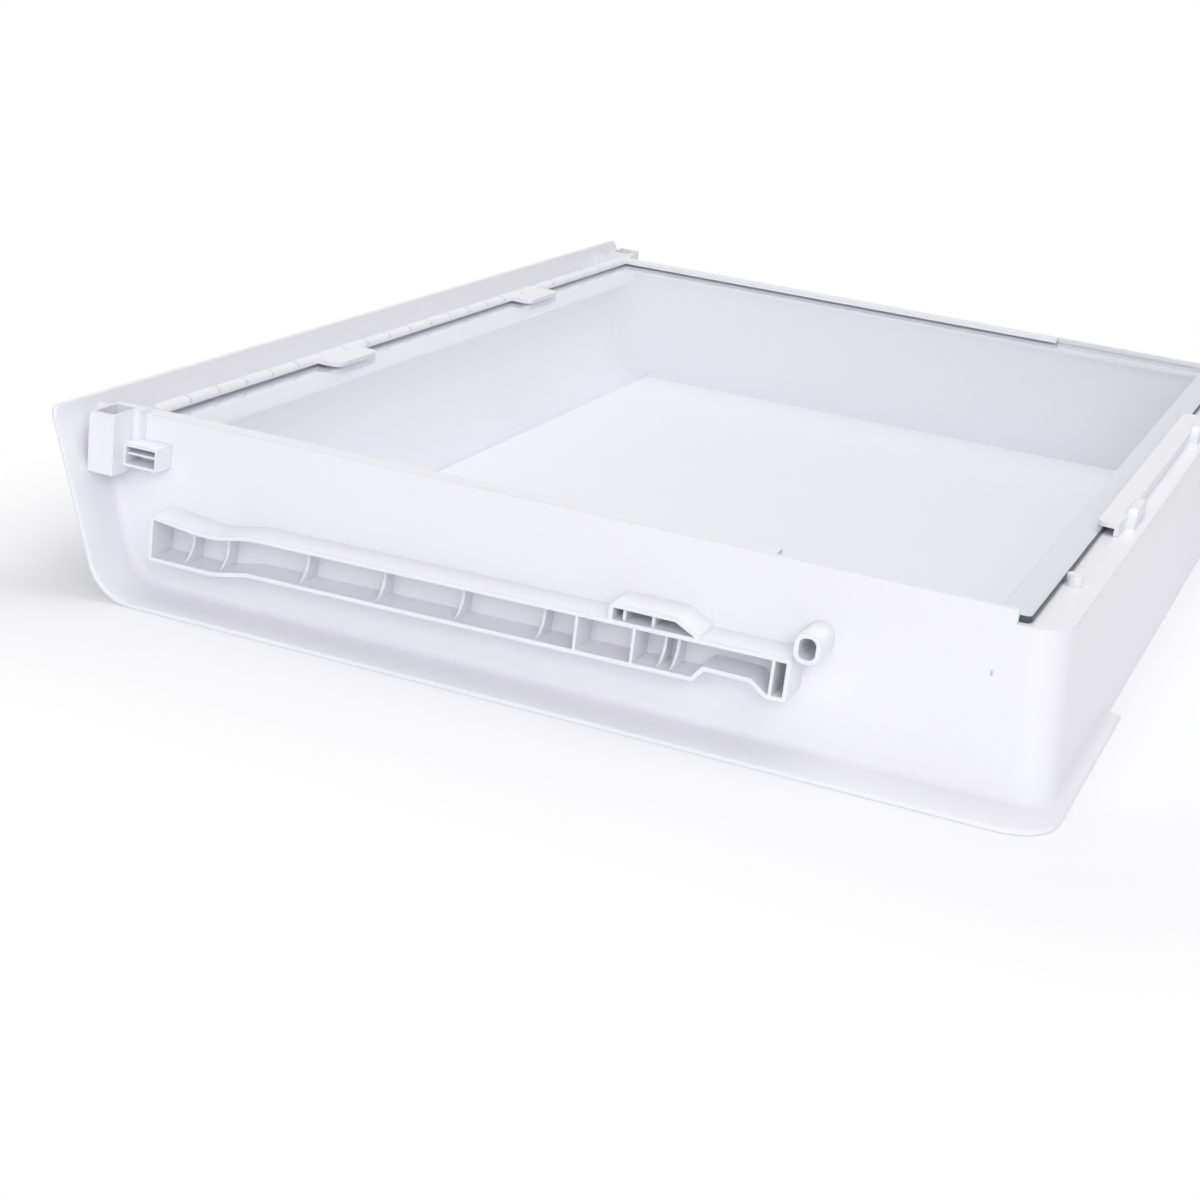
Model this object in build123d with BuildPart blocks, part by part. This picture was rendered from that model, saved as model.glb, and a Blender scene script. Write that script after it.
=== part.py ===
"""Full-width fridge drawer: one moulded tub with a sliding runner on each side and a glass base."""

import os
from math import cos, radians, tan

from build123d import *

os.makedirs("parts", exist_ok=True)

# Lengths are in millimetres and angles in degrees. The drawer lies upside down, as it is set
# on a bench: the open rim is on the surface at Z = 0, the glass base is on top and the front
# panel faces -Y. The left half is the mirror image of the right half.

# Tub
tub_width = 680.0  # over the side walls, at the height of the lips
wall = 2.6  # moulded wall
wall_draft = 4.5  # lean of the side and rear walls, which spread towards the rim
tub_corner_radius = 18.0  # rear corners, outside
front_corner_radius = 4.0  # front corners, inside

# Rim and front panel, which are one bent sheet
drawer_depth = 522.0  # from the top edge of the panel to the rear of the rim
rim_side = 32.0  # side rim beyond the foot of the side wall
rim_thickness = 2.6
rim_corner_radius = 25.0
rim_back = 7.0  # rear rim beyond the foot of the rear wall
rim_gap_width = 390.0  # stretch of the rear wall that has no rim
panel_height = 95.2
panel_proud = 5.2  # top edge of the panel above the side lips
panel_lean = 19.0
panel_bend_radius = 27.0
panel_corner_radius = 6.0
front_rim = 4.0  # flat edge of the sheet inside the mouth, behind the bend
cove_radius = 4.5  # between the walls and the rim or the panel
edge_radius = 1.0  # rounding of the free edges of the rim and the panel

# Glass base and its seat
glass_thickness = 3.2
glass_corner_radius = 3.0
glass_edge_chamfer = 0.6
glass_side_clearance = 1.2
glass_front_clearance = 0.8
glass_gap = 0.8  # between the glass and the lips
glass_overhang = 5.5  # glass behind the rear end of the side walls
lip_thickness = 2.6
lip_width = 12.0  # side lip, from the outer face of the wall
rear_step = 37.0  # from the rear of the rim to the rear end of the full-height side walls
lip_stop = 115.0  # from that end of the side walls to the rear end of the side lips
seat_width = 8.0  # ledge under the glass, along the side walls
rear_seat_width = 12.0  # rear ledge under the glass, ahead of the rear end of the side walls

# Channel behind the panel, with the finger groove and the bar that holds the front edge of the glass
front_wall_inset = 39.0  # from the top edge of the panel to the inner face of the channel
bar_inset = 25.0  # from the top edge of the panel to the front of the bar
bar_width = 8.0  # the bar is half round
bar_rise = 1.8  # top of the bar above the lips
ridge_pitch = 28.5  # small cross ridges on the bar
ridge_width = 1.8
ridge_height = 0.3  # above the top of the bar
ridge_chamfer = 1.2
tab_place = 137.0  # tabs of the bar that reach over the glass
tab_width = 50.0
tab_reach = 14.0
tab_radius = 6.0
grip_depth = 21.4  # from the top edge of the panel to the bottom of the finger groove
grip_floor_radius = 3.0

# Rear fittings on the ledge behind the glass
rear_lip_width = 314.0  # middle lip over the rear edge of the glass
rear_lip_reach = 4.0  # over the glass
rear_lip_gap = 5.5  # from the rear edge of the glass to the wall of the lip
rear_lip_radius = 6.0
stud_place = 260.0
stud_radius = 4.0
stud_height = 5.5
lug_place = 118.0
lug_width = 34.0
lug_height = 10.0
lug_thickness = 5.0
lug_radius = 6.0

# Runner: an open ribbed channel along each side wall
runner_reach = 24.0  # outer edge beyond the side lips
runner_inset = 52.0  # from the top edge of the panel to the front end of the runner
runner_length = 340.0
runner_plate = 2.4
runner_clear = 16.6  # height of the channel inside
runner_height = 44.4  # underside of the top plate, at the start of the straight stretch
runner_entry = 57.0  # from the front end to the start of the straight stretch
runner_slope = 0.77
runner_dip = 3.8  # the front end lies lower
runner_bend = 19.0  # length of the bend between them
runner_lead = 3.0  # flare of the top plate at its front end
detent_back = 10.0  # from the rear end of the detent to the rear end of the runner
detent_length = 37.0
detent_depth = 6.4
detent_front_ramp = 5.0
detent_rear_ramp = 8.0
stop_place = 251.5  # from the front end of the runner to the stop
stop_length = 31.0
stop_ramp = 10.0
stop_clear = 5.8  # height of the hollow in the stop
nub_gap = 2.0  # from the rear end of the runner to the hollow of the nub
nub_width = 8.0
nub_height = 10.0
nub_lift = 1.6  # hollow of the nub above the top plate
nub_radius = 3.0
rib_thickness = 1.6
rib_setback = 11.0
# Places of the ribs, from the front end of the runner
flared_ribs = (20.0, 40.0, 85.5, 128.0, 170.5, 213.5, 275.5, 282.0)
full_ribs = (234.0, 263.0, 331.5)
stop_ribs = (256.5, 271.0)

# Bracket between the side wall and the panel
pocket_reach = 24.0  # outer face beyond the side lips
pocket_inset = 14.0  # from the top edge of the panel to the front of the pocket
pocket_length = 15.0
pocket_bottom = 61.0
pocket_rise = 2.5  # above the side lips
pocket_wall = 2.0
slot_reach = 15.0
slot_length = 20.0
slot_bottom = 65.0
slot_height = 12.0
slot_wall = 1.6
tongue_lift = 6.6
tongue_thickness = 1.2
tongue_inset = 2.0
block_reach = 8.0
block_length = 3.5
block_radius = 2.5

# Values worked out from the sizes above
wall_height = panel_height - panel_proud  # from the rim to the top of the side lips
pocket_top = wall_height + pocket_rise
front_y = -drawer_depth / 2
back_y = drawer_depth / 2
lean = tan(radians(panel_lean))
spread = tan(radians(wall_draft))
panel_skin = rim_thickness / cos(radians(panel_lean))
wall_skin = wall / cos(radians(wall_draft))
seat_z = wall_height - lip_thickness - glass_gap - glass_thickness
shelf_z = seat_z - wall
lip_z = wall_height - lip_thickness
side_x = tub_width / 2
wall_root = side_x - wall
rim_width = tub_width + 2 * (wall_height * spread + rim_side)
wall_end = back_y - rear_step
lip_end = wall_end - lip_stop
front_wall_inner = front_y + front_wall_inset
bar_front = front_y + bar_inset
bar_rear = bar_front + bar_width
bar_middle = bar_front + bar_width / 2
bar_top = wall_height + bar_rise
bar_spring = bar_top - bar_width / 2
bar_wall_inner = bar_front + wall
glass_front = bar_wall_inner + glass_front_clearance
glass_back = wall_end + glass_overhang
rear_lip_front = glass_back - rear_lip_reach
rear_lip_rear = glass_back + rear_lip_gap + wall
runner_front = front_y + runner_inset
runner_rear = runner_front + runner_length
runner_start = runner_front + runner_entry
stop_start = runner_front + stop_place
detent_end = runner_rear - detent_back
detent_start = detent_end - detent_length
grip_floor = panel_height - grip_depth
grip_under = grip_floor - wall
pocket_front = front_y + pocket_inset
pocket_rear = pocket_front + pocket_length
slope = tan(radians(runner_slope))
open_above = panel_height + wall_height  # any height well above the drawer


def panel_face(z):
    """Y of the outer face of the panel at a height."""
    return front_y + (panel_height - z) * lean


def panel_inside(z):
    """Y of the inner face of the panel at a height."""
    return panel_face(z) + panel_skin


def tub_half(z):
    """Half the width over the side walls at a height."""
    return side_x + (wall_height - z) * spread


def tub_rear(z):
    """Y of the outer face of the rear wall at a height."""
    return back_y - rim_back - z * spread


def runner_ceiling(y):
    """Height of the underside of the runner's top plate along its straight stretch."""
    return runner_height + (y - runner_start) * slope


def runner_floor(y):
    """Height of the upper face of the runner's bottom plate, ahead of the detent."""
    if y < runner_start - runner_bend / 2:
        return runner_height - runner_clear - runner_dip
    return runner_ceiling(y) - runner_clear


def tub_block(bottom, top, inset):
    """Block with the leaning sides and rear of the tub, drawn in from its outer faces."""
    half = tub_half(bottom) - inset
    rear = tub_rear(bottom) - inset
    front = front_y - wall_height * spread
    with BuildPart() as block:
        with BuildSketch(Plane.XY.offset(bottom)):
            with BuildLine():
                Polyline((-half, front), (half, front), (half, rear), (-half, rear), close=True)
            make_face()
        extrude(amount=top - bottom, taper=wall_draft)
        corners = block.edges().filter_by(lambda e: abs((e @ 0).Z - (e @ 1).Z) > (top - bottom) / 2)
        fillet(corners.sort_by(Axis.Y)[-2:], radius=tub_corner_radius - inset)
    return block.part


outer_block = tub_block(0, wall_height, 0)
inner_block = tub_block(-rim_thickness, shelf_z, wall_skin)
groove_block = tub_block(grip_floor, open_above, wall_skin)
side_plane = Plane.YZ.offset(-rim_width / 2)

# Side and rear walls as a filled block, cut to the lean of the panel and the step at the rear
with BuildPart() as walls:
    add(outer_block)
    middle = panel_skin / 2
    with BuildSketch(side_plane) as walls_side:
        with BuildLine():
            Polyline(
                (panel_face(rim_thickness / 2) + middle, rim_thickness / 2),
                (back_y, rim_thickness / 2),
                (back_y, seat_z),
                (wall_end, seat_z),
                (wall_end, wall_height),
                (panel_face(wall_height) + middle, wall_height),
                close=True,
            )
        make_face()
        foot_corner = (panel_face(rim_thickness / 2) + middle, rim_thickness / 2, 0)
        bend = walls_side.vertices().sort_by_distance(foot_corner)[0]
        fillet(bend, radius=panel_bend_radius - rim_thickness / 2)
    extrude(amount=rim_width, mode=Mode.INTERSECT)

# Room inside the drawer, from the mouth up to the ledge under the glass. The bent sheet closes its
# front, and the channel of the finger groove stands into it.
inner_bend_radius = panel_bend_radius - rim_thickness
bend_foot = (panel_inside(rim_thickness), rim_thickness)
bend_run = inner_bend_radius * tan(radians((90 - panel_lean) / 2))
mouth_front = bend_foot[0] + bend_run + front_rim
with BuildPart() as room:
    add(inner_block)
    with BuildSketch(side_plane) as room_side:
        with BuildLine():
            Polyline(
                (mouth_front, -wall_height),
                (back_y, -wall_height),
                (back_y, wall_height),
                (front_wall_inner, wall_height),
                (front_wall_inner, grip_under),
                (panel_inside(grip_under), grip_under),
                bend_foot,
                (mouth_front, rim_thickness),
                close=True,
            )
        make_face()
        fillet(room_side.vertices().sort_by_distance(bend_foot)[0], radius=inner_bend_radius)
        channel_corner = room_side.vertices().sort_by_distance((front_wall_inner, grip_under))[0]
        fillet(channel_corner, radius=grip_floor_radius + wall)
    extrude(amount=rim_width, mode=Mode.INTERSECT)
    ends = room.edges().filter_by(lambda e: abs((e @ 0.5).X) > side_x - wall)
    front_ends = ends.filter_by(lambda e: (e @ 0.5).Y < mouth_front - front_rim)
    fillet(front_ends.filter_by(lambda e: (e @ 0.5).Z < grip_under - wall), radius=front_corner_radius)

# Finger groove between the panel and the bar
with BuildPart() as groove:
    add(groove_block)
    with BuildSketch(side_plane) as groove_side:
        with BuildLine():
            Polyline(
                (panel_inside(open_above), open_above),
                (panel_inside(grip_floor), grip_floor),
                (front_wall_inner - wall, grip_floor),
                (front_wall_inner - wall, shelf_z),
                (bar_front, shelf_z),
                (bar_front, open_above),
                close=True,
            )
        make_face()
        fillet(groove_side.vertices().group_by(Axis.Y)[0], radius=grip_floor_radius)
    extrude(amount=rim_width, mode=Mode.INTERSECT)

# Outlines of the hollows of the runner, seen from the side: channel, stop and nub
runner_plane = Plane.YZ.offset(wall_root)
channel_front = runner_front + runner_plate
channel_rear = runner_rear - runner_plate
dip_floor = runner_floor(runner_front)
dip_ceiling = runner_height - runner_dip
dip_end = runner_start - runner_bend
detent_floor = runner_floor(detent_start) + detent_depth
with BuildSketch(runner_plane) as hollows:
    with BuildLine():
        Polyline(
            (channel_front, dip_ceiling + runner_lead),
            (dip_end - runner_bend / 2, dip_ceiling),
            (dip_end, dip_ceiling),
            (runner_start, runner_height),
            (channel_rear, runner_ceiling(channel_rear)),
            (channel_rear, runner_floor(channel_rear)),
            (detent_end, runner_floor(detent_end)),
            (detent_end - detent_rear_ramp, detent_floor),
            (detent_start + detent_front_ramp, detent_floor),
            (detent_start, runner_floor(detent_start)),
            (runner_start, runner_floor(runner_start)),
            (dip_end, dip_floor),
            (channel_front, dip_floor),
            close=True,
        )
    make_face()
    stop_end = stop_start + stop_length
    stop_floor = runner_ceiling(stop_start) + runner_plate
    with BuildLine():
        Polyline(
            (stop_start, stop_floor),
            (stop_start, stop_floor + stop_clear),
            (stop_end, stop_floor + stop_clear),
            (stop_end + stop_ramp, runner_ceiling(stop_end + stop_ramp) + runner_plate),
            close=True,
        )
    make_face()
    nub_centre = runner_rear + nub_gap + nub_width / 2
    nub_floor = runner_ceiling(runner_rear) + runner_plate + nub_lift
    with Locations((nub_centre, nub_floor + nub_height / 2)):
        RectangleRounded(nub_width, nub_height, nub_radius)
with BuildSketch(runner_plane) as outlines:
    add(hollows.sketch_local)
    offset(amount=runner_plate)

# Ribs of the runner: some set back and flared on to the bottom plate, some at full depth
runner_x = side_x + runner_reach
with BuildPart() as ribs:
    for rib_place in flared_ribs:
        rib_y = runner_front + rib_place
        rib_floor = runner_floor(rib_y)
        with BuildSketch(Plane.XZ.offset(-rib_y)):
            with BuildLine():
                flare = JernArc(
                    start=(runner_x, rib_floor), tangent=(-1, 0), radius=rib_setback, arc_size=-90
                )
                Polyline(
                    flare @ 1,
                    (runner_x - rib_setback, runner_ceiling(rib_y) + runner_plate / 2),
                    (wall_root, runner_ceiling(rib_y) + runner_plate / 2),
                    (wall_root, rib_floor - runner_plate / 2),
                    (runner_x, rib_floor - runner_plate / 2),
                    flare @ 0,
                )
            make_face()
        extrude(amount=rib_thickness / 2, both=True)
    rib_depth = runner_x - wall_root
    for rib_place in full_ribs:
        rib_y = runner_front + rib_place
        rib_middle = runner_ceiling(rib_y) - runner_clear / 2
        with Locations((wall_root + rib_depth / 2, rib_y, rib_middle)):
            Box(rib_depth, rib_thickness, runner_clear + runner_plate)
    for rib_place in stop_ribs:
        stop_depth = rib_depth - runner_plate
        with Locations((wall_root + stop_depth / 2, runner_front + rib_place, stop_floor + stop_clear / 2)):
            Box(stop_depth, rib_thickness, stop_clear + runner_plate)
    extrude(outlines.sketch, amount=rib_depth, mode=Mode.INTERSECT)

# Runner, with the stop, the detent and the nub at its rear end
with BuildPart() as runner:
    extrude(outlines.sketch, amount=rib_depth)
    extrude(hollows.sketch, amount=rib_depth, mode=Mode.SUBTRACT)
    add(ribs.part)

# Bracket: a pocket open at the top, a slot with a tongue in it and a block above the slot
with BuildPart() as bracket:
    pocket_x = side_x + pocket_reach
    with BuildSketch(Plane.XY.offset(pocket_bottom)):
        with Locations(((wall_root + pocket_x) / 2, pocket_front + pocket_length / 2)):
            Rectangle(pocket_x - wall_root, pocket_length)
    extrude(amount=pocket_top - pocket_bottom)
    with BuildSketch(Plane.XY.offset(pocket_top)):
        with Locations(((side_x + wall + pocket_x - pocket_wall) / 2, pocket_front + pocket_length / 2)):
            Rectangle(pocket_x - pocket_wall - side_x - wall, pocket_length - 2 * pocket_wall)
    extrude(amount=-(pocket_top - pocket_bottom - pocket_wall), mode=Mode.SUBTRACT)
    slot_x = side_x + slot_reach
    with BuildSketch(Plane.YZ.offset(wall_root)):
        with Locations((pocket_rear + slot_length / 2, slot_bottom + slot_height / 2)):
            Rectangle(slot_length, slot_height)
    extrude(amount=slot_x - wall_root)
    with BuildSketch(Plane.YZ.offset(slot_x)):
        with Locations((pocket_rear + slot_length / 2, slot_bottom + slot_height / 2)):
            Rectangle(slot_length - 2 * slot_wall, slot_height - 2 * slot_wall)
    extrude(amount=-(slot_reach - wall), mode=Mode.SUBTRACT)
    with BuildSketch(Plane.YZ.offset(wall_root)):
        with Locations((pocket_rear + slot_length / 2, slot_bottom + tongue_lift)):
            Rectangle(slot_length, tongue_thickness)
    extrude(amount=slot_x - tongue_inset - wall_root)
    with BuildSketch(Plane.XY.offset(slot_bottom + slot_height)) as block_plan:
        with Locations(((wall_root + side_x + block_reach) / 2, pocket_rear + block_length / 2)):
            Rectangle(side_x + block_reach - wall_root, block_length)
        fillet(block_plan.vertices().sort_by(Axis.X)[-2:].sort_by(Axis.Y)[-1], radius=block_radius)
    extrude(amount=pocket_top - slot_bottom - slot_height)

# Fittings on the rear ledge: a lip over the rear edge of the glass, studs and lugs
with BuildPart() as rear_fittings:
    with BuildSketch(Plane.XY.offset(lip_z)) as lip_plan:
        with Locations((0, (rear_lip_front + rear_lip_rear) / 2)):
            Rectangle(rear_lip_width, rear_lip_rear - rear_lip_front)
        fillet(lip_plan.vertices().group_by(Axis.Y)[0], radius=rear_lip_radius)
    extrude(amount=lip_thickness)
    with BuildSketch(Plane.XY.offset(shelf_z)):
        with Locations((0, rear_lip_rear - wall / 2)):
            Rectangle(rear_lip_width, wall)
    extrude(amount=lip_z - shelf_z)
    with BuildSketch(Plane.XY.offset(shelf_z)):
        with Locations((stud_place, glass_back + stud_radius + glass_gap)):
            Circle(stud_radius)
        mirror(about=Plane.YZ)
    extrude(amount=wall + stud_height)
    with BuildSketch(Plane.XZ.offset(-rear_lip_rear)) as lug_face:
        with Locations((lug_place, shelf_z + (wall + lug_height) / 2)):
            Rectangle(lug_width, wall + lug_height)
        fillet(lug_face.vertices().group_by(Axis.Y)[-1], radius=lug_radius)
        mirror(about=Plane.YZ)
    extrude(amount=-lug_thickness)

# Drawer body
with BuildPart() as drawer_body:
    # The rim and the panel are one sheet, bent at the front
    with BuildSketch(side_plane) as sheet:
        with BuildLine():
            Polyline(
                (back_y, 0),
                (panel_face(0), 0),
                (front_y, panel_height),
                (front_y + panel_skin, panel_height),
                (panel_inside(rim_thickness), rim_thickness),
                (back_y, rim_thickness),
                close=True,
            )
        make_face()
        outer_bend = sheet.vertices().sort_by_distance((panel_face(0), 0, 0))[0]
        fillet(outer_bend, radius=panel_bend_radius)
        inner_bend = sheet.vertices().sort_by_distance(bend_foot)[0]
        fillet(inner_bend, radius=inner_bend_radius)
    extrude(amount=rim_width)
    fillet(drawer_body.edges().filter_by(Axis.Z).group_by(Axis.Y)[-1], radius=rim_corner_radius)
    fillet(drawer_body.edges().filter_by(Axis.Y).group_by(Axis.Z)[-1], radius=panel_corner_radius)
    outline = drawer_body.edges().filter_by(lambda e: e.length > 2 * rim_thickness)
    bend_lines = outline.filter_by(Axis.X).filter_by(
        lambda e: e.center().Y < 0 and e.center().Z < panel_height / 2
    )
    fillet([edge for edge in outline if edge not in bend_lines], radius=edge_radius)

    # The walls stand on the sheet, with a cove all along their foot
    add(walls.part)
    upright = drawer_body.faces().filter_by(lambda f: f.bounding_box().size.Z > wall_height / 2)
    upright = upright.filter_by(lambda f: f.center().Y > panel_inside(0))
    foot = upright.edges().filter_by(lambda e: e.center().Z < shelf_z)
    foot = foot.filter_by(lambda e: e.center().Z < 2 * rim_thickness or e.center().Y < runner_front)
    fillet(foot, radius=cove_radius)

    # Middle stretch of the rear wall, without a rim
    gap_top = rim_thickness + 2 * cove_radius
    with BuildSketch(Plane.YZ.offset(-rim_gap_width / 2)):
        with BuildLine():
            Polyline(
                (tub_rear(-rim_thickness), -rim_thickness),
                (tub_rear(gap_top), gap_top),
                (2 * back_y, gap_top),
                (2 * back_y, -rim_thickness),
                close=True,
            )
        make_face()
    extrude(amount=rim_gap_width, mode=Mode.SUBTRACT)

    add(runner.part)
    mirror(runner.part, about=Plane.YZ)
    add(bracket.part)
    mirror(bracket.part, about=Plane.YZ)

    # Hollows: the room inside, the window over it, the slot of the glass and the finger groove
    add(room.part, mode=Mode.SUBTRACT)
    add(groove.part, mode=Mode.SUBTRACT)
    window_half = wall_root - seat_width
    with BuildSketch(Plane.XY.offset(shelf_z)):
        with BuildLine():
            Polyline(
                (-window_half, front_wall_inner),
                (window_half, front_wall_inner),
                (window_half, wall_end - rear_seat_width),
                (-window_half, wall_end - rear_seat_width),
                close=True,
            )
        make_face()
    extrude(amount=glass_thickness + wall, mode=Mode.SUBTRACT)
    with BuildSketch(Plane.XY.offset(seat_z)):
        with BuildLine():
            Polyline(
                (-wall_root, bar_wall_inner),
                (wall_root, bar_wall_inner),
                (wall_root, back_y),
                (-wall_root, back_y),
                close=True,
            )
        make_face()
    extrude(amount=glass_thickness + glass_gap, mode=Mode.SUBTRACT)
    lip_half = side_x - lip_width
    with BuildSketch(Plane.XY.offset(lip_z)):
        with BuildLine():
            Polyline(
                (lip_half, bar_front),
                (lip_half, lip_end),
                (wall_root, lip_end),
                (wall_root, back_y),
                (-wall_root, back_y),
                (-wall_root, lip_end),
                (-lip_half, lip_end),
                (-lip_half, bar_front),
                close=True,
            )
        make_face()
    extrude(amount=lip_thickness, mode=Mode.SUBTRACT)

    # Half-round bar over the front edge of the glass, with its cross ridges and tabs
    with BuildSketch(Plane.YZ.offset(-lip_half)):
        with BuildLine():
            crown = ThreePointArc((bar_front, bar_spring), (bar_middle, bar_top), (bar_rear, bar_spring))
            Polyline(crown @ 1, (bar_rear, lip_z), (bar_front, lip_z), crown @ 0)
        make_face()
    extrude(amount=2 * lip_half)
    ridges = int((2 * lip_half - ridge_pitch) / ridge_pitch)
    ridge_places = [ridge_pitch * (number - (ridges - 1) / 2) for number in range(ridges)]
    with BuildSketch(*[Plane.YZ.offset(place) for place in ridge_places]):
        with BuildLine():
            Polyline(
                (bar_middle, lip_z),
                (bar_rear, lip_z),
                (bar_rear, bar_top + ridge_height - ridge_chamfer),
                (bar_rear - ridge_chamfer, bar_top + ridge_height),
                (bar_middle, bar_top + ridge_height),
                close=True,
            )
        make_face()
    extrude(amount=ridge_width / 2, both=True)
    with BuildSketch(Plane.XY.offset(lip_z)) as tabs:
        with Locations((tab_place, (bar_middle + bar_rear + tab_reach) / 2)):
            Rectangle(tab_width, bar_rear + tab_reach - bar_middle)
        fillet(tabs.vertices().group_by(Axis.Y)[-1], radius=tab_radius)
        mirror(about=Plane.YZ)
    extrude(amount=lip_thickness)

    add(rear_fittings.part)

# Glass base
with BuildPart() as glass_base:
    glass_half = wall_root - glass_side_clearance
    with BuildSketch(Plane.XY.offset(seat_z)):
        with Locations((0, (glass_front + glass_back) / 2)):
            RectangleRounded(2 * glass_half, glass_back - glass_front, glass_corner_radius)
    extrude(amount=glass_thickness)
    chamfer(glass_base.edges().group_by(Axis.Z)[-1], length=glass_edge_chamfer)
    chamfer(glass_base.edges().group_by(Axis.Z)[0], length=glass_edge_chamfer)

drawer_body.part.label = "drawer_body"
export_step(drawer_body.part, "parts/drawer_body.step")
glass_base.part.label = "glass_base"
export_step(glass_base.part, "parts/glass_base.step")
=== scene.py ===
"""Upturned fridge drawer: white moulded plastic, a clear glass base and a plain pale studio."""

from math import cos, radians, sin

import bpy
import numpy as np
from bpy.props import FloatProperty, FloatVectorProperty, PointerProperty
from mathutils import Matrix, Vector


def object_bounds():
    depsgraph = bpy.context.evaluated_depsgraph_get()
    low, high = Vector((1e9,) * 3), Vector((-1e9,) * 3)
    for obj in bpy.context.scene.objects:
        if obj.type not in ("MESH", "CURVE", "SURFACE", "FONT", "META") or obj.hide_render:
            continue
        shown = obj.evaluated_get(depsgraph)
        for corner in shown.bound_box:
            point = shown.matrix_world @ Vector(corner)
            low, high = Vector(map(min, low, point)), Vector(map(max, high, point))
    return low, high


bl_info = {
    "name": "Fridge Drawer Finish",
    "version": (1, 0, 0),
    "blender": (4, 5, 0),
    "location": "View3D > Sidebar > Drawer",
    "description": "Finishes an upturned fridge drawer: white plastic, clear glass base, pale studio",
    "category": "Material",
}

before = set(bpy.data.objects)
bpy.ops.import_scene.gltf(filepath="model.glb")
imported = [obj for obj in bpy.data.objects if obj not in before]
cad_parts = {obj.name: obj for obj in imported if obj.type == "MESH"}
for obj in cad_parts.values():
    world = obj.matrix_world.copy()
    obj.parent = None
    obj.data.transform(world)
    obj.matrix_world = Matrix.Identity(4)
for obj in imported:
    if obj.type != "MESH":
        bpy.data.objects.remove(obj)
CAD_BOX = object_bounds()
MM = 0.001
# Lamps: name, place, size in metres and power in watts. Each one faces the middle of the drawer.
SOFTBOXES = (
    ("key_softbox", (2.6, 2.2, 2.4), 2.4, 45.5),
    ("side_softbox", (4.2, 0.6, 1.5), 2.8, 41.4),
    ("low_side_softbox", (2.6, 0.9, 0.9), 1.8, 6.1),
    ("front_side_softbox", (3.0, -1.2, 1.0), 1.8, 7.1),
    ("overhead_softbox", (-0.2, 0.2, 1.6), 1.4, 16.2),
)
LAMP_AIM = (0, 0, 50 * MM)
# A face of the glass whose normal is less upright than this belongs to its edge.
FACE_UPRIGHT = 0.9


def linear(code):
    """sRGB hex colour as linear RGB, by the sRGB curve: straight near black and a power above."""
    channels = np.array([int(code[i : i + 2], 16) for i in (1, 3, 5)]) / 255
    straight = channels / 12.92
    power = ((channels + 0.055) / 1.055) ** 2.4
    return tuple(np.where(channels <= 0.04045, straight, power).tolist())


def node(tree, kind, inputs=None, **settings):
    """Adds a node, gives it its settings, and sets each named input or links it to the socket given."""
    new = tree.nodes.new(kind)
    for name, value in settings.items():
        setattr(new, name, value)
    for name, value in (inputs or {}).items():
        if isinstance(value, bpy.types.NodeSocket):
            tree.links.new(value, new.inputs[name])
        else:
            new.inputs[name].default_value = value
    return new


def blank(name):
    """A material with only its output node, and that node."""
    material = bpy.data.materials.new(name)
    material.use_nodes = True
    material.node_tree.nodes.clear()
    return material, material.node_tree, material.node_tree.nodes.new("ShaderNodeOutputMaterial")


def sight(tree, *rays):
    """1 for the kinds of ray named and 0 for all others: the largest of their light path values."""
    path = node(tree, "ShaderNodeLightPath")
    most = path.outputs[rays[0]]
    for ray in rays[1:]:
        larger = node(tree, "ShaderNodeMath", {0: most, 1: path.outputs[ray]}, operation="MAXIMUM")
        most = larger.outputs["Value"]
    return most


def dress(name, material):
    """Gives a node of the part this material and no other."""
    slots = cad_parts[name].data.materials
    slots.clear()
    slots.append(material)


class PlasticSettings(bpy.types.PropertyGroup):
    """White moulded plastic of the drawer body."""

    tone: FloatVectorProperty(
        name="Plastic", description="Main tone of the plastic", subtype="COLOR", size=3,
        default=linear("#F4F3F8"),
    )
    shade: FloatVectorProperty(
        name="Shade", description="Slightly greyer tone that drifts through it", subtype="COLOR", size=3,
        default=linear("#EFEFF4"),
    )
    scuff: FloatVectorProperty(
        name="Scuff", description="Tone of the handling mark", subtype="COLOR", size=3,
        default=linear("#A9A8AC"),
    )
    scuff_place: FloatVectorProperty(
        name="Scuff place", description="Where the mark is on the right-hand wall",
        subtype="TRANSLATION", size=3, default=(340 * MM, 217 * MM, 59 * MM),
    )
    scuff_size: FloatVectorProperty(
        name="Scuff size", description="Half the size of the mark", subtype="XYZ", size=3,
        default=(20 * MM, 0.9 * MM, 2.2 * MM),
    )
    drift: FloatProperty(
        name="Drift", description="Size of the slow change in tone", unit="LENGTH", default=120 * MM
    )
    edge_softness: FloatProperty(
        name="Edge softness", description="Radius of the moulded edges", unit="LENGTH", default=0.7 * MM
    )
    peel: FloatProperty(
        name="Peel", description="Size of the faint ripple left by the mould", unit="LENGTH", default=14 * MM
    )


class GlassSettings(bpy.types.PropertyGroup):
    """Clear tempered glass of the base."""

    tint: FloatVectorProperty(
        name="Glass", description="Tint of the plate", subtype="COLOR", size=3, default=linear("#FCFDFF")
    )
    index: FloatProperty(name="Index", description="Refractive index of the glass", default=1.52)
    # Painted shade: this dark grey stands in for the little light that comes out through the glass edge.
    edge: FloatVectorProperty(
        name="Edge", description="Tone of the ground edge", subtype="COLOR", size=3,
        default=linear("#465153"),
    )
    edge_inside: FloatVectorProperty(
        name="Edge inside", description="Tone of the ground edge seen through the plate",
        subtype="COLOR", size=3, default=linear("#C6D0D3"),
    )


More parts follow.
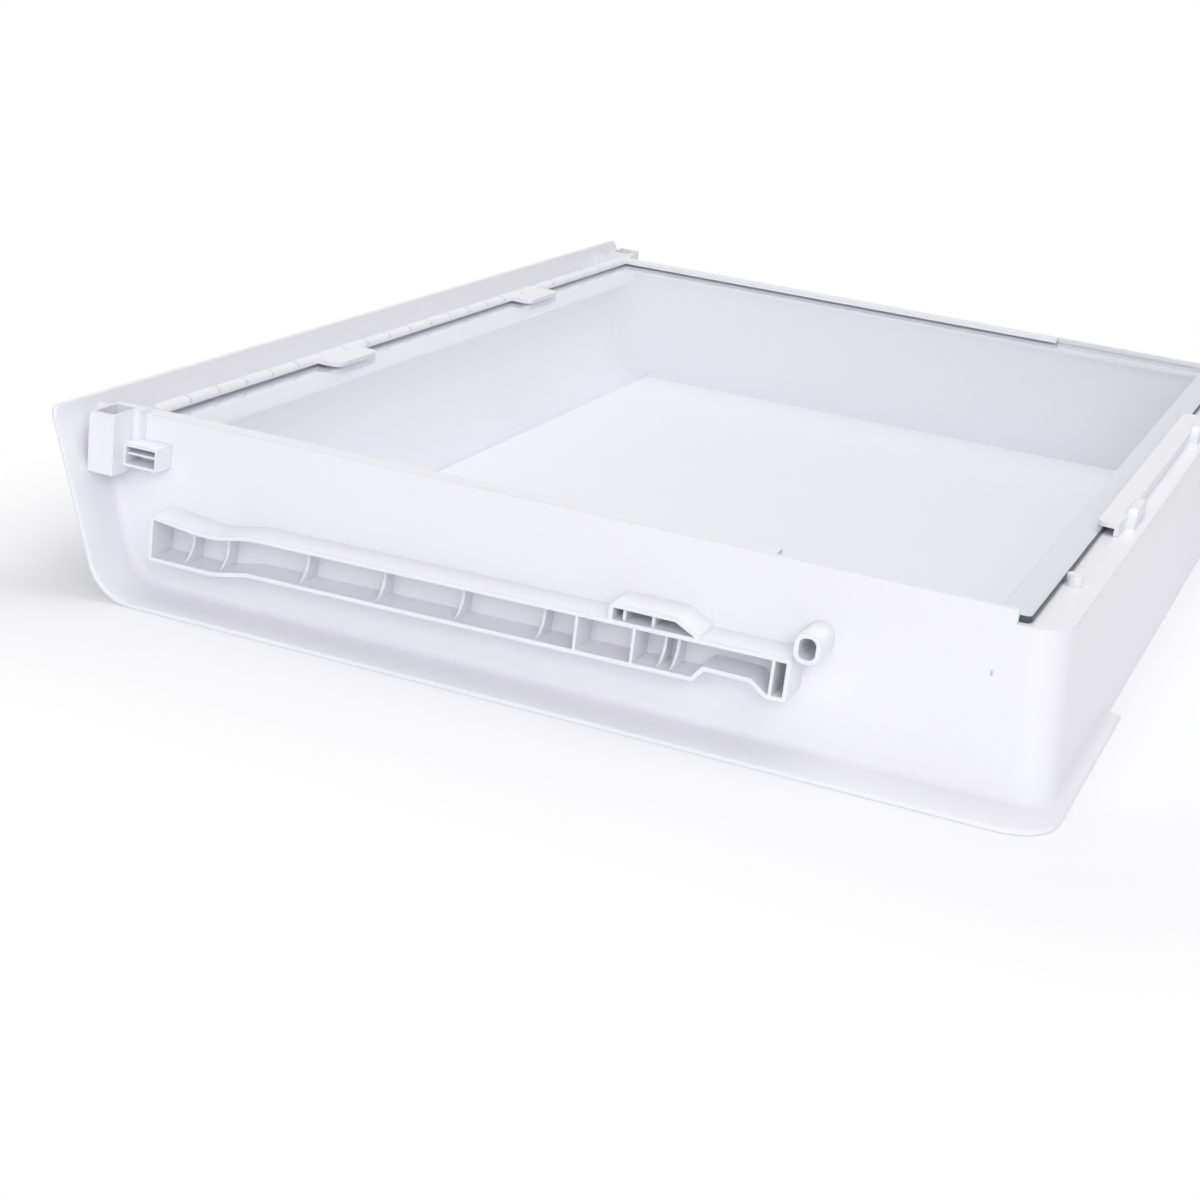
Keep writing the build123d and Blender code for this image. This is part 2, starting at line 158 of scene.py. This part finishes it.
class StageSettings(bpy.types.PropertyGroup):
    """Floor, lamps and camera."""

    floor: FloatVectorProperty(
        name="Floor", description="Colour of the floor", subtype="COLOR", size=3, default=linear("#F6F6FB")
    )
    floor_half: FloatProperty(
        name="Floor half", description="Half the side of the floor", unit="LENGTH", default=6.0
    )
    shadow_reach: FloatProperty(
        name="Shadow reach", description="How far from the drawer its shadow fades",
        unit="LENGTH", default=160 * MM,
    )
    shadow_white: FloatProperty(
        name="Shadow white", description="Share of plain white in the floor at the drawer", default=0.38
    )
    sky: FloatProperty(name="Sky", description="Level of the even light all round", default=0.2)
    dim_side: FloatProperty(
        name="Dim side", description="Level of the studio mirrored towards the drawer's rear", default=0.55
    )
    azimuth: FloatProperty(
        name="Azimuth", description="Camera's bearing from +X towards +Y", subtype="ANGLE",
        default=radians(19.97),
    )
    elevation: FloatProperty(
        name="Elevation", description="Camera's height above the horizon", subtype="ANGLE",
        default=radians(18.25),
    )
    roll: FloatProperty(
        name="Roll", description="Camera's turn about its view", subtype="ANGLE", default=radians(6.91)
    )
    place: FloatVectorProperty(
        name="Place", description="Where the camera stands", subtype="TRANSLATION", size=3,
        default=(1.3012, 0.3760, 0.3861),
    )
    lens: FloatProperty(
        name="Lens", description="Focal length for a 36 mm frame, in millimetres", default=67.65
    )


class DRAWER_OT_plastic(bpy.types.Operator):
    """Gives the drawer body its white moulded plastic"""

    bl_idname = "drawer.plastic"
    bl_label = "Moulded plastic"

    def execute(self, context):
        look = context.scene.drawer_plastic
        # High-impact polystyrene out of a polished mould: a cool white with a soft gloss, edges that
        # are never quite sharp, a faint ripple in the reflections and one handling mark.
        material, tree, output = blank("moulded_white_polystyrene")
        place = node(tree, "ShaderNodeTexCoord").outputs["Object"]
        drift = node(
            tree, "ShaderNodeTexNoise",
            {"Vector": place, "Scale": 1 / look.drift, "Detail": 3.0, "Roughness": 0.5},
        )
        tone = node(
            tree, "ShaderNodeMix",
            {"Factor": drift.outputs["Fac"], "A": (*look.tone, 1), "B": (*look.shade, 1)},
            data_type="RGBA",
        )
        # One short smudge near the rear of the wall, drawn about twice as wide as it is so that it shows.
        aside = node(tree, "ShaderNodeVectorMath", {0: place, 1: look.scuff_place}, operation="SUBTRACT")
        scaled = node(
            tree, "ShaderNodeVectorMath", {0: aside.outputs["Vector"], 1: look.scuff_size},
            operation="DIVIDE",
        )
        span = node(tree, "ShaderNodeVectorMath", {0: scaled.outputs["Vector"]}, operation="LENGTH")
        smudge = node(
            tree, "ShaderNodeMapRange",
            {"Value": span.outputs["Value"], "From Min": 0.3, "From Max": 1.0, "To Min": 0.7, "To Max": 0.0},
            interpolation_type="SMOOTHSTEP",
        )
        marked = node(
            tree, "ShaderNodeMix",
            {"Factor": smudge.outputs["Result"], "A": tone.outputs["Result"], "B": (*look.scuff, 1)},
            data_type="RGBA",
        )
        soft = node(tree, "ShaderNodeBevel", {"Radius": look.edge_softness}, samples=4)
        ripple = node(
            tree, "ShaderNodeTexNoise",
            {"Vector": place, "Scale": 1 / look.peel, "Detail": 2.0, "Roughness": 0.5},
        )
        relief = node(
            tree, "ShaderNodeBump",
            {
                "Height": ripple.outputs["Fac"], "Normal": soft.outputs["Normal"],
                "Strength": 0.2, "Distance": 0.05 * MM,
            },
        )
        shader = node(
            tree, "ShaderNodeBsdfPrincipled",
            {
                "Base Color": marked.outputs["Result"], "Roughness": 0.3,
                "Normal": relief.outputs["Normal"], "IOR": 1.55,
            },
        )
        tree.links.new(shader.outputs["BSDF"], output.inputs["Surface"])
        dress("drawer_body", material)
        return {"FINISHED"}


class DRAWER_OT_glass(bpy.types.Operator):
    """Gives the base its clear tempered glass"""

    bl_idname = "drawer.glass"
    bl_label = "Glass base"

    def execute(self, context):
        look = context.scene.drawer_glass
        # Tempered soda-lime glass, polished on its faces and ground along its edges: the thin plate
        # shows what is behind it unbent, with more sky mirrored in it at a low angle. Seen from outside, the
        # edges carry a painted shade, a dark grey for the little light that comes out through them, and they
        # are pale through the plate.
        material, tree, output = blank("tempered_soda_lime_glass")
        turned = node(tree, "ShaderNodeTexCoord").outputs["Normal"]
        parts = node(tree, "ShaderNodeSeparateXYZ", {"Vector": turned})
        upright = node(tree, "ShaderNodeMath", {0: parts.outputs["Z"]}, operation="ABSOLUTE")
        rim = node(
            tree, "ShaderNodeMath", {0: upright.outputs["Value"], 1: FACE_UPRIGHT}, operation="LESS_THAN"
        )
        # A beam of share R mirrored at one face is mirrored by both faces together as 2 R / (1 + R).
        fresnel = node(tree, "ShaderNodeFresnel", {"IOR": look.index})
        inside = node(tree, "ShaderNodeNewGeometry").outputs["Backfacing"]
        outside = node(tree, "ShaderNodeMath", {0: 1.0, 1: inside}, operation="SUBTRACT")
        twice = node(tree, "ShaderNodeMath", {0: fresnel.outputs["Fac"], 1: 2.0}, operation="MULTIPLY")
        whole_beam = node(tree, "ShaderNodeMath", {0: fresnel.outputs["Fac"], 1: 1.0}, operation="ADD")
        both_faces = node(
            tree, "ShaderNodeMath", {0: twice.outputs["Value"], 1: whole_beam.outputs["Value"]},
            operation="DIVIDE",
        )
        mirrored = node(
            tree, "ShaderNodeMath", {0: both_faces.outputs["Value"], 1: outside.outputs["Value"]},
            operation="MULTIPLY",
        )
        clear = node(tree, "ShaderNodeBsdfTransparent", {"Color": (*look.tint, 1)})
        shine = node(tree, "ShaderNodeBsdfGlossy", {"Color": (1, 1, 1, 1), "Roughness": 0.02})
        plate = node(
            tree, "ShaderNodeMixShader",
            {0: mirrored.outputs["Value"], 1: clear.outputs["BSDF"], 2: shine.outputs["BSDF"]},
        )
        # Painted shade: front-facing edge faces take the dark grey tone, and backfacing ones take the pale
        # tone.
        edge = node(
            tree, "ShaderNodeMix",
            {"Factor": inside, "A": (*look.edge, 1), "B": (*look.edge_inside, 1)}, data_type="RGBA",
        )
        ground = node(
            tree, "ShaderNodeBsdfPrincipled",
            {"Base Color": edge.outputs["Result"], "Roughness": 0.4, "IOR": look.index},
        )
        whole = node(
            tree, "ShaderNodeMixShader",
            {0: rim.outputs["Value"], 1: plate.outputs["Shader"], 2: ground.outputs["BSDF"]},
        )
        tree.links.new(whole.outputs["Shader"], output.inputs["Surface"])
        dress("glass_base", material)
        return {"FINISHED"}


def floor_sheet(half, steps):
    """Flat square on Z = 0: X and Y run evenly from -half to half on a grid of steps by steps cells."""
    line = np.linspace(-half, half, steps + 1)
    x, y = np.meshgrid(line, line)
    points = np.column_stack([x.ravel(), y.ravel(), np.zeros(x.size)])
    corner = np.arange(steps * (steps + 1)).reshape(steps, steps + 1)[:, :-1].ravel()
    faces = np.column_stack([corner, corner + 1, corner + steps + 2, corner + steps + 1])
    return points, faces


class DRAWER_OT_stage(bpy.types.Operator):
    """Sets up the floor, the lamps, the sky and the camera"""

    bl_idname = "drawer.stage"
    bl_label = "Stage"

    def execute(self, context):
        look = context.scene.drawer_stage
        scene = context.scene
        points, faces = floor_sheet(look.floor_half, steps=8)
        mesh = bpy.data.meshes.new("floor")
        mesh.from_pydata(points.tolist(), [], faces.tolist())
        floor = bpy.data.objects.new("floor", mesh)
        scene.collection.objects.link(floor)
        # Seamless white paper: what the camera sees of it is mostly even white, with the drawer's
        # shadow kept in the rest.
        material, tree, output = blank("seamless_white_paper")
        place = node(tree, "ShaderNodeTexCoord").outputs["Object"]
        side = node(tree, "ShaderNodeVectorMath", {0: place}, operation="ABSOLUTE")
        beyond = node(
            tree, "ShaderNodeVectorMath", {0: side.outputs["Vector"], 1: (CAD_BOX[1][0], CAD_BOX[1][1], 0)},
            operation="SUBTRACT",
        )
        outside = node(
            tree, "ShaderNodeVectorMath", {0: beyond.outputs["Vector"], 1: (0, 0, 0)}, operation="MAXIMUM"
        )
        reach = node(tree, "ShaderNodeVectorMath", {0: outside.outputs["Vector"]}, operation="LENGTH")
        away = node(
            tree, "ShaderNodeMapRange",
            {
                "Value": reach.outputs["Value"], "From Min": 0.0, "From Max": look.shadow_reach,
                "To Min": look.shadow_white, "To Max": 1.0,
            },
            interpolation_type="SMOOTHSTEP",
        )
        seen = sight(tree, "Is Camera Ray", "Is Glossy Ray", "Is Transmission Ray")
        share = node(tree, "ShaderNodeMath", {0: seen, 1: away.outputs["Result"]}, operation="MULTIPLY")
        paper = node(tree, "ShaderNodeBsdfDiffuse", {"Color": (*look.floor, 1)})
        white = node(tree, "ShaderNodeEmission", {"Color": (1, 1, 1, 1), "Strength": 1.0})
        both = node(
            tree, "ShaderNodeMixShader",
            {0: share.outputs["Value"], 1: paper.outputs["BSDF"], 2: white.outputs["Emission"]},
        )
        tree.links.new(both.outputs["Shader"], output.inputs["Surface"])
        mesh.materials.append(material)

        world = bpy.data.worlds.new("studio")
        scene.world = world
        world.use_nodes = True
        tree = world.node_tree
        tree.nodes.clear()
        bearing = node(tree, "ShaderNodeTexCoord").outputs["Generated"]
        heading = node(tree, "ShaderNodeSeparateXYZ", {"Vector": bearing})
        # The studio mirrored in gloss and glass is white at the drawer's front and greyer towards its rear.
        mirrored = node(
            tree, "ShaderNodeMapRange",
            {
                "Value": heading.outputs["Y"], "From Min": -0.5, "From Max": 0.1,
                "To Min": 1.0, "To Max": look.dim_side,
            },
        )
        even = node(tree, "ShaderNodeBackground", {"Color": (1, 1, 1, 1), "Strength": look.sky})
        gloss = node(
            tree, "ShaderNodeBackground", {"Color": (1, 1, 1, 1), "Strength": mirrored.outputs["Result"]}
        )
        shown = node(tree, "ShaderNodeBackground", {"Color": (1, 1, 1, 1), "Strength": 1.0})
        lit = node(
            tree, "ShaderNodeMixShader",
            {
                0: sight(tree, "Is Glossy Ray"),
                1: even.outputs["Background"], 2: gloss.outputs["Background"],
            },
        )
        both = node(
            tree, "ShaderNodeMixShader",
            {
                0: sight(tree, "Is Camera Ray", "Is Transmission Ray"),
                1: lit.outputs["Shader"], 2: shown.outputs["Background"],
            },
        )
        node(tree, "ShaderNodeOutputWorld", {"Surface": both.outputs["Shader"]})

        for name, place, size, power in SOFTBOXES:
            data = bpy.data.lights.new(name, "AREA")
            data.size = size
            data.energy = power
            lamp = bpy.data.objects.new(name, data)
            # Glass and gloss mirror the plain studio and not the lamps.
            lamp.visible_glossy = False
            scene.collection.objects.link(lamp)
            aim = Vector(LAMP_AIM) - Vector(place)
            lamp.matrix_world = Matrix.Translation(place) @ aim.to_track_quat("-Z", "Y").to_matrix().to_4x4()

        # The camera's back vector comes from its bearing and height, and its right and up vectors
        # are turned about it by the roll.
        back = Vector(
            (
                cos(look.azimuth) * cos(look.elevation),
                sin(look.azimuth) * cos(look.elevation),
                sin(look.elevation),
            )
        )
        level = Vector((0, 0, 1)).cross(back).normalized()
        above = back.cross(level)
        right = level * cos(look.roll) + above * sin(look.roll)
        up = above * cos(look.roll) - level * sin(look.roll)
        data = bpy.data.cameras.new("camera")
        data.sensor_fit = "HORIZONTAL"
        data.sensor_width = 36.0
        data.lens = look.lens
        camera = bpy.data.objects.new("camera", data)
        scene.collection.objects.link(camera)
        turn = Matrix((right, up, back)).transposed().to_4x4()
        camera.matrix_world = Matrix.Translation(look.place) @ turn
        scene.camera = camera
        scene.view_settings.view_transform = "Standard"
        return {"FINISHED"}


class DRAWER_PT_panel(bpy.types.Panel):
    """Lists the drawer's finishes and its stage"""

    bl_idname = "DRAWER_PT_panel"
    bl_label = "Drawer"
    bl_space_type = "VIEW_3D"
    bl_region_type = "UI"
    bl_category = "Drawer"

    def draw(self, context):
        for operator, settings in (
            (DRAWER_OT_plastic, context.scene.drawer_plastic),
            (DRAWER_OT_glass, context.scene.drawer_glass),
            (DRAWER_OT_stage, context.scene.drawer_stage),
        ):
            box = self.layout.box()
            box.operator(operator.bl_idname)
            for name in settings.__annotations__:
                box.prop(settings, name)


CLASSES = (
    PlasticSettings, GlassSettings, StageSettings,
    DRAWER_OT_plastic, DRAWER_OT_glass, DRAWER_OT_stage, DRAWER_PT_panel,
)


def register():
    for cls in CLASSES:
        bpy.utils.register_class(cls)
    bpy.types.Scene.drawer_plastic = PointerProperty(type=PlasticSettings)
    bpy.types.Scene.drawer_glass = PointerProperty(type=GlassSettings)
    bpy.types.Scene.drawer_stage = PointerProperty(type=StageSettings)


def unregister():
    del bpy.types.Scene.drawer_stage
    del bpy.types.Scene.drawer_glass
    del bpy.types.Scene.drawer_plastic
    for cls in reversed(CLASSES):
        bpy.utils.unregister_class(cls)


def main():
    register()
    bpy.ops.drawer.plastic()
    bpy.ops.drawer.glass()
    bpy.ops.drawer.stage()


if __name__ == "__main__":
    main()
